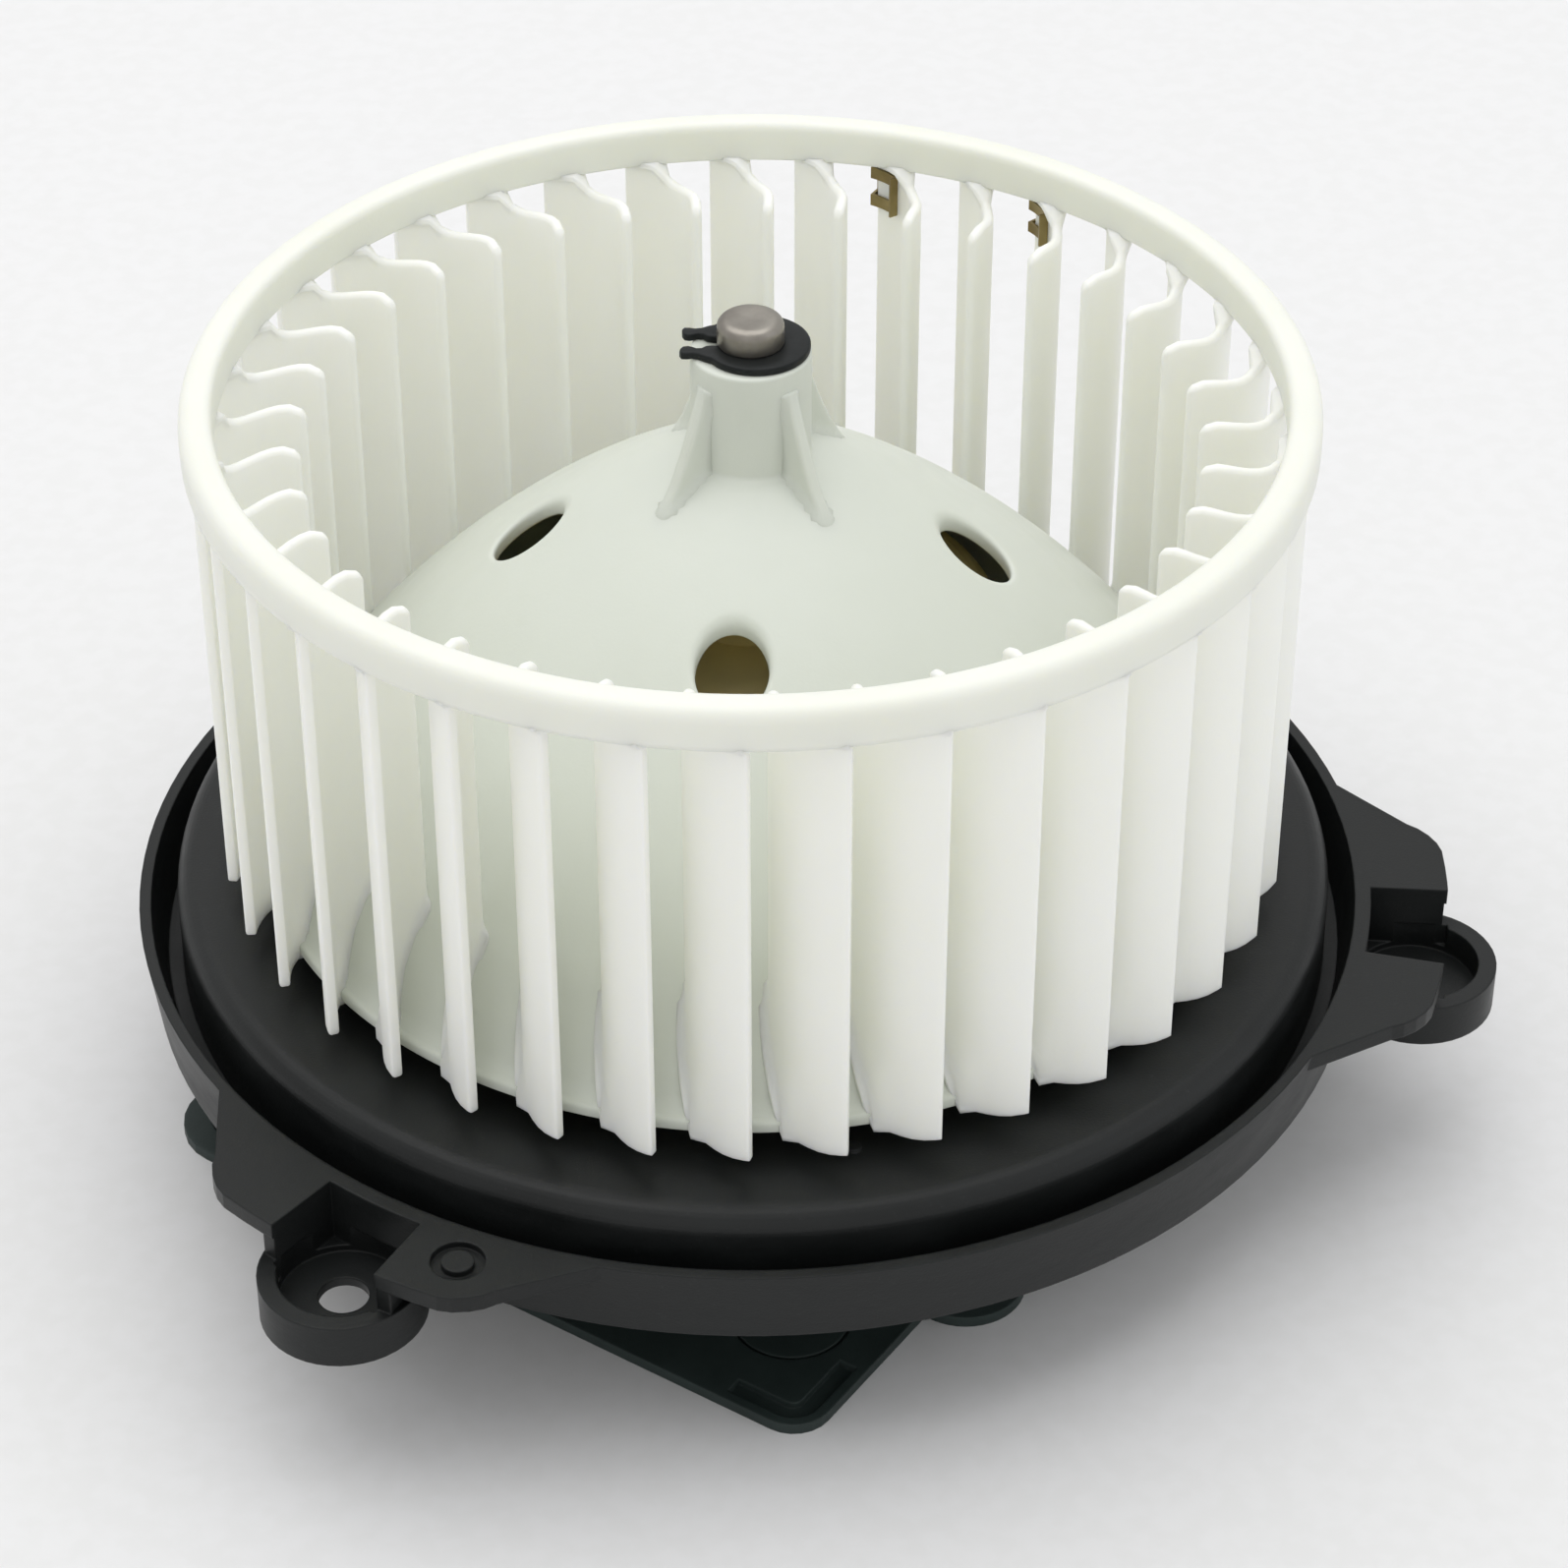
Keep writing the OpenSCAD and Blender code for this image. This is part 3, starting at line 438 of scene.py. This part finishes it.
def finish_piece(bm, name, material, body, node, sharp=None):
    """Cleans the mesh, makes the object and lets it stand for its CAD node.

    Shading is smooth, except over edges of more than sharp degrees where sharp is given.
    """
    bmesh.ops.remove_doubles(bm, verts=bm.verts, dist=0.002 * MM)
    bmesh.ops.dissolve_degenerate(bm, edges=bm.edges, dist=0.001 * MM)
    bmesh.ops.recalc_face_normals(bm, faces=bm.faces)
    mesh = bpy.data.meshes.new(name)
    bm.to_mesh(mesh)
    bm.free()
    mesh.shade_smooth()
    if sharp is not None:
        mesh.set_sharp_from_angle(angle=math.radians(sharp))
    piece = bpy.data.objects.new(name, mesh)
    bpy.context.scene.collection.objects.link(piece)
    paint(piece, materials[material])
    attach(piece, body)
    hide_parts(node)


def make_rim():
    bm = bmesh.new()
    top = RIM_Z + RIM_H
    add_revolve(bm, rounded([(RIM_INNER_R, RIM_Z, 0.5), (BLADE_RO, RIM_Z - 0.6, 0.5),
                             (RIM_R, RIM_Z + 0.2, 0.6), (RIM_R, top, 2.0), (RIM_INNER_R, top, 1.3)], 7))
    finish_piece(bm, "rim_moulding", "rim_plastic", "rotor", "wheel_rim")


def blade_top(r):
    """Height of a blade's top edge: rounded shoulder, shallow dip, then a sweep up into the rim."""
    shoulder, corner, sweep = RIM_Z - 0.8, 2.0, 2.2
    if r < BLADE_RI + corner:
        return shoulder - corner + math.sqrt(max(corner ** 2 - (BLADE_RI + corner - r) ** 2, 0))
    dip_r, dip_z = RIM_INNER_R - sweep, RIM_Z - 1.8
    if r < dip_r:
        t = (r - BLADE_RI - corner) / (dip_r - BLADE_RI - corner)
        return shoulder + (dip_z - shoulder) * t * t * (3 - 2 * t)
    if r < RIM_INNER_R:
        return dip_z + sweep - math.sqrt(max(sweep ** 2 - (r - dip_r) ** 2, 0))
    return RIM_Z + 0.5


def blade_foot(r):
    """Height of a blade's lower end, which rises in a curve at the outer edge."""
    t = min(max((r - BLADE_RO + FOOT_CORNER) / FOOT_CORNER, 0.0), 1.0)
    return BLADE_Z + FOOT_RISE * (1 - math.sqrt(1 - min(t * t, 1.0)))


HUB_LINE = hub_face() + [(HUB_R, LIP_TOP_Z), (HUB_R, HUB_Z)]


def hub_height(r):
    """Height of the hub's outer face at a radius."""
    if r <= DOME_EDGE_R:
        return dome_z(r)
    for (r0, z0), (r1, z1) in zip(HUB_LINE, HUB_LINE[1:]):
        if r0 <= r < r1:
            return z0 + (z1 - z0) * (r - r0) / (r1 - r0)
    return HUB_Z


def hub_distance(r, z):
    """Distance from the hub's outer face, and 0 inside the hub."""
    if r < HUB_R and z < hub_height(r):
        return 0.0
    best = 99.0
    point = Vector((r, z))
    for a, b in zip(HUB_LINE, HUB_LINE[1:]):
        a, b = Vector(a), Vector(b)
        t = max(0.0, min(1.0, (point - a).dot(b - a) / (b - a).length_squared))
        best = min(best, (point - a - (b - a) * t).length)
    return best


def blend_lists(a, b, t):
    return [x + (y - x) * t for x, y in zip(a, b)]


def blade_stations():
    """The blade's mid surface as arc centre, side angles and columns of (angle, z, half thickness)."""
    out = Vector(polar(BLADE_RO - BLADE_T * 0.47, 0))
    inner = Vector(polar(BLADE_RI, -BLADE_LAG))
    chord = out - inner
    side = Vector((-chord.y, chord.x)).normalized()
    centre = (out + inner) / 2 + side * math.sqrt(BLADE_ARC_R ** 2 - (chord.length / 2) ** 2)
    mid = math.degrees(math.atan2(-side.y, -side.x))
    half_a = math.degrees(math.asin(chord.length / 2 / BLADE_ARC_R))
    length = math.radians(2 * half_a) * BLADE_ARC_R
    half, tip_radius = BLADE_T / 2, 0.32
    edge = [0.0, 0.03, 0.12, 0.3, 0.55, half]
    middle = [half + (length - 2 * half) * i / 11 for i in range(1, 11)]
    stations = edge + middle + [length - d for d in reversed(edge)]
    rim_fillet, foot_fillet, foot_zone, head_zone = 0.9, 1.1, 3.4, 3.2
    # Inside this radius the foot is sunk in the hub, and past it the foot stands free
    hub_reach, hub_exit, sunk = 60.4, 1.4, 0.9
    columns = []
    for d in stations:
        angle = mid - half_a + math.degrees(d / BLADE_ARC_R)
        x = centre.x + BLADE_ARC_R * math.cos(math.radians(angle))
        y = centre.y + BLADE_ARC_R * math.sin(math.radians(angle))
        r = math.hypot(x, y)
        free_foot = min(max((r - hub_reach) / hub_exit, 0.0), 1.0)
        bottom = ((hub_height(min(r, hub_reach)) - sunk) * (1 - free_foot)
                  + blade_foot(r) * free_foot)
        top = blade_top(r)
        foot = blend_lists([0, 0.4, sunk, 1.0, 1.15, 1.4, 1.8, 2.4, foot_zone],
                           [0, 0.03, 0.12, 0.3, 0.55, half, 1.2, 2.0, foot_zone], free_foot)
        head = [head_zone, 2.0, 1.4, 1.0, half, 0.55, 0.3, 0.12, 0.03, 0.0]
        between = top - bottom - foot_zone - head_zone
        levels = ([bottom + o for o in foot]
                  + [bottom + foot_zone + between * i / 7 for i in range(1, 7)]
                  + [top - o for o in head])
        column = []
        for z in levels:
            thick = min(round_edge(d, half), round_edge(length - d, half, tip_radius))
            if r < RIM_INNER_R - 0.2:
                thick = min(thick, round_edge(top - z, half))
            if free_foot == 1:
                thick = min(thick, round_edge(z - bottom, half, tip_radius))
            if z > 30:
                if r > 60:
                    thick += fillet(max(RIM_Z - 0.4 - z, 0), rim_fillet) * min(thick / half, 1)
            else:
                thick += fillet(hub_distance(r, z), foot_fillet) * min(thick / half, 1)
            column.append((angle, z, thick))
        columns.append(column)
    return centre, columns


def make_blades():
    bm = bmesh.new()
    centre, columns = blade_stations()
    for k in range(BLADE_COUNT):
        turn = math.radians(BLADE_PHASE + k * 360 / BLADE_COUNT)

        def place(angle, z, offset):
            x = centre.x + (BLADE_ARC_R + offset) * math.cos(math.radians(angle))
            y = centre.y + (BLADE_ARC_R + offset) * math.sin(math.radians(angle))
            return turned(x, y, z, turn)

        add_sheet(bm, columns, place)
    finish_piece(bm, "blade_moulding", "ivory_plastic", "rotor", "wheel_blades")


def add_vented_dome(bm, inset, edge_round):
    """The dome's face between boss and wall, sagging into a round edge at each vent."""
    inner_r = BOSS_R if inset else BOSS_R + BOSS_FILLET
    outer_r = DOME_EDGE_R - inset
    centres = [Vector(polar(VENT_PITCH_R, a)) for a in VENT_AZ]
    points, edges = [], []

    def ring(centre, radius, count, bound=False):
        start = len(points)
        for k in range(count):
            points.append(Vector(centre) + Vector(polar(radius, 360 * k / count)))
        if bound:
            edges.extend((start + k, start + (k + 1) % count) for k in range(count))

    ring((0, 0), outer_r, SEGMENTS, True)
    ring((0, 0), inner_r, SEGMENTS, True)
    for c in centres:
        ring(c, VENT_R, VENT_SEGMENTS, True)
        for f in (0.08, 0.25, 0.5, 0.75, 1.0):
            ring(c, VENT_R + f * edge_round, VENT_SEGMENTS)
        ring(c, VENT_R + edge_round + 0.7, VENT_SEGMENTS)
    spacing = 1.6
    r = inner_r + 0.9
    while r < outer_r - 0.8:
        count = max(48, int(2 * math.pi * r / spacing))
        for k in range(count):
            p = Vector(polar(r, 360 * k / count))
            if all((p - c).length > VENT_R + edge_round + 1.2 for c in centres):
                points.append(p)
        r += spacing
    verts, _, faces, _, _, _ = mathutils.geometry.delaunay_2d_cdt(points, edges, [], 0, 1e-4)
    made = {}

    def vert(i):
        if i not in made:
            p = verts[i]
            gap = min((p - c).length for c in centres) - VENT_R
            sign = -1 if inset == 0 else 1
            z = dome_z(p.length, inset) + sign * fillet(max(gap, 0), edge_round)
            made[i] = bm.verts.new((p.x * MM, p.y * MM, z * MM))
        return made[i]

    for face in faces:
        middle = sum((verts[i] for i in face), Vector((0, 0))) / len(face)
        if inner_r < middle.length and all((middle - c).length > VENT_R * 0.9985 for c in centres):
            bm.faces.new([vert(i) for i in face])


def add_vent_walls(bm, outer_round, inner_round):
    """Cylinder wall of each vent between the two round edges."""
    for a in VENT_AZ:
        cx, cy = polar(VENT_PITCH_R, a)
        rings = []
        for inset, rise in ((0.0, -outer_round), (HUB_T, inner_round)):
            ring = []
            for k in range(VENT_SEGMENTS):
                px, py = polar(VENT_R, 360 * k / VENT_SEGMENTS)
                x, y = cx + px, cy + py
                z = dome_z(math.hypot(x, y), inset) + rise
                ring.append(bm.verts.new((x * MM, y * MM, z * MM)))
            rings.append(ring)
        add_band(bm, *rings)


def edge_radius(z):
    """Radius of a gusset's outer edge at a height."""
    for (r0, z0), (r1, z1) in zip(GUSSET_EDGE, GUSSET_EDGE[1:]):
        if z >= z1:
            return r0 + (r1 - r0) * (z0 - z) / (z0 - z1)
    return GUSSET_EDGE[-1][0]


def add_gusset(bm, azimuth):
    """A web between boss and dome with a hollow, rounded outer edge and flared feet."""
    half, foot_fillet, inner_r, low = GUSSET_T / 2, 0.9, BOSS_R - 0.7, 57.2
    levels = [low + (GUSSET_TOP - low) * i / 26 for i in range(24)]
    levels += [GUSSET_TOP - o for o in (0.9, 0.6, 0.35, 0.15, 0.04, 0.0)]
    columns = []
    for f in (0.0, 0.3, 0.55, 0.75, 0.88, 0.95, 0.985, 1.0):
        column = []
        for z in levels:
            outer_r = edge_radius(z)
            r = inner_r + (outer_r - inner_r) * f
            slope_half = round_edge(min((outer_r - r) * 0.9, GUSSET_TOP - z), half, 0.5)
            above = z - dome_z(min(r, 40))
            thick = slope_half + min(slope_half / half, 1) * max(
                fillet(max(above, 0), foot_fillet) * min(max(14.9 - r, 0) / 2, 1),
                fillet(max(r - BOSS_R, 0), 0.6))
            column.append((r, z, thick))
        columns.append(column)
    turn = math.radians(azimuth)
    add_sheet(bm, columns, lambda r, z, offset: turned(r, offset, z, turn))


def make_hub():
    bm = bmesh.new()
    outer_round, inner_round = 1.0, 0.5
    lip = rounded([(HUB_R - 0.8, LIP_TOP_Z + 0.1, 0), (HUB_R, LIP_TOP_Z, 0.7), (HUB_R, HUB_Z, 0.5),
                   (HUB_R - HUB_T, HUB_Z, 0.4), (HUB_R - HUB_T, LIP_TOP_Z, 0)])
    add_revolve(bm, hub_face() + lip[1:] + hub_face(HUB_T)[::-1], closed=False)
    add_vented_dome(bm, 0.0, outer_round)
    add_vented_dome(bm, HUB_T, inner_round)
    add_vent_walls(bm, outer_round, inner_round)
    foot_z = dome_z(BOSS_R + BOSS_FILLET)
    base = [(BOSS_R + fillet(h, BOSS_FILLET), foot_z + h) for h in (0.0, 0.05, 0.15, 0.35, 0.6, 0.8)]
    boss = base + [(BOSS_R, 66), (BOSS_R, 71), (BOSS_R, BOSS_Z - 0.5), (BOSS_R - 0.04, BOSS_Z - 0.25),
                   (BOSS_R - 0.15, BOSS_Z - 0.08), (BOSS_R - 0.4, BOSS_Z), (BORE_R, BOSS_Z),
                   (BORE_R, BOSS_BASE_Z), (BOSS_R, BOSS_BASE_Z), (BOSS_R, dome_z(BOSS_R, HUB_T))]
    add_revolve(bm, boss, closed=False)
    for a in GUSSET_AZ:
        add_gusset(bm, a)
    finish_piece(bm, "hub_moulding", "hub_plastic", "rotor", "wheel_hub")


def clip_outline():
    """The circlip's outline: round the ring, along one ear, back round the bore, and the other ear."""
    steps = 60
    start = math.degrees(math.atan2(CLIP_EAR[0][1], CLIP_EAR[0][0] - CLIP_OFFSET_X))
    gap = math.degrees(math.asin(CLIP_HALF_GAP / CLIP_BORE_R))
    ring, bore = [], []
    for i in range(steps + 1):
        x, y = polar(CLIP_R, start - 2 * start * i / steps)
        ring.append((x + CLIP_OFFSET_X, y))
        bore.append(polar(CLIP_BORE_R, 180 - gap - (360 - 2 * gap) * i / steps))
    ring[0], ring[-1] = CLIP_EAR[0], (CLIP_EAR[0][0], -CLIP_EAR[0][1])
    outline = ring + [(x, -y) for x, y in CLIP_EAR[1:]] + bore[::-1] + CLIP_EAR[:0:-1]
    return [Vector(p) for k, p in enumerate(outline)
            if (Vector(p) - Vector(outline[k - 1])).length > 0.02]


def make_circlip():
    """Pressed ring with two hooked ears; its edges are rounded by tumbling."""
    outline = clip_outline()
    count = len(outline)
    inward = []
    for k in range(count):
        along = (outline[(k + 1) % count] - outline[k - 1]).normalized()
        inward.append(Vector((along.y, -along.x)))
    bm = bmesh.new()
    z0, z1 = CLIP_Z
    corner = 0.06
    rings = []
    for inset, z in ((CLIP_EDGE, z0), (corner, z0 + corner), (0, z0 + CLIP_EDGE),
                     (0, z1 - CLIP_EDGE), (corner, z1 - corner), (CLIP_EDGE, z1)):
        points = [p + n * inset for p, n in zip(outline, inward)]
        rings.append([bm.verts.new(turned(p.x, p.y, z, math.radians(CLIP_LEAN))) for p in points])
    for low, high in zip(rings, rings[1:]):
        add_band(bm, low, high)
    for ring in (rings[0], rings[-1]):
        bmesh.ops.triangulate(bm, faces=[bm.faces.new(ring)])
    finish_piece(bm, "circlip_pressed", "black_spring_steel", "rotor", "circlip", sharp=50)


def make_shaft():
    """Ground shaft: a worn round shoulder and a faint dish at the top, a chamfer at the bottom."""
    bottom, top = SHAFT_Z
    groove_low, groove_high = SHAFT_GROOVE_Z
    profile = [(0, bottom), (SHAFT_R - SHAFT_CHAMFER, bottom), (SHAFT_R, bottom + SHAFT_CHAMFER),
               (SHAFT_R, groove_low), (SHAFT_GROOVE_R, groove_low), (SHAFT_GROOVE_R, groove_high),
               (SHAFT_R, groove_high)]
    for step in range(9):
        r, z = polar(SHAFT_SHOULDER, 90 * step / 8)
        profile.append((SHAFT_R - SHAFT_SHOULDER + r, top - SHAFT_SHOULDER + z))
    profile += [(2.2, top - 0.01), (1.0, top - 0.06), (0, top - 0.09)]
    bm = bmesh.new()
    add_revolve(bm, profile, closed=False)
    finish_piece(bm, "shaft_ground", "ground_steel", "rotor", "shaft", sharp=40)


make_rim()
make_blades()
make_hub()
make_circlip()
make_shaft()


# ---- Floor and light ----

def make_floor():
    z = cad_box[0][2]
    half = 3.0
    mesh = bpy.data.meshes.new("floor")
    corners = [(-half, -half, z), (half, -half, z), (half, half, z), (-half, half, z)]
    mesh.from_pydata(corners, [], [(0, 1, 2, 3)])
    floor = bpy.data.objects.new("floor", mesh)
    bpy.context.scene.collection.objects.link(floor)
    g = Graph("floor_paper")
    fleck = g.noise(300, 3)
    colour = g.mix(g.ramp(fleck, 0.4, 0.6, 0, 1), rgb(0.77, 0.77, 0.77), rgb(0.785, 0.785, 0.788))
    paint(floor, g.set(Base_Color=colour, Roughness=0.85, Specular_IOR_Level=0.2))


def area_light(name, at, target, size, power, colour):
    data = bpy.data.lights.new(name, "AREA")
    data.shape = "SQUARE"
    data.size = size
    data.energy = power
    data.color = colour
    lamp = bpy.data.objects.new(name, data)
    lamp.location = at
    lamp.rotation_euler = (Vector(target) - Vector(at)).to_track_quat("-Z", "Y").to_euler()
    bpy.context.scene.collection.objects.link(lamp)


def make_light():
    world = bpy.data.worlds.new("studio")
    world.use_nodes = True
    background = world.node_tree.nodes["Background"]
    background.inputs["Color"].default_value = WHITE
    background.inputs["Strength"].default_value = 0.72
    bpy.context.scene.world = world
    middle = (0, 0, 0.02)
    area_light("ceiling_soft", (-0.15, 0.20, 1.45), middle, 1.8, 14.0, (1.0, 1.0, 1.0))
    area_light("front_soft", (-0.3, -1.5, 0.6), middle, 0.9, 0.8, (1.0, 1.0, 0.99))
    area_light("right_soft", (1.1, -0.3, 0.6), middle, 0.9, 1.2, (0.90, 0.95, 1.0))
    bpy.context.scene.view_settings.view_transform = "Standard"


make_floor()
make_light()
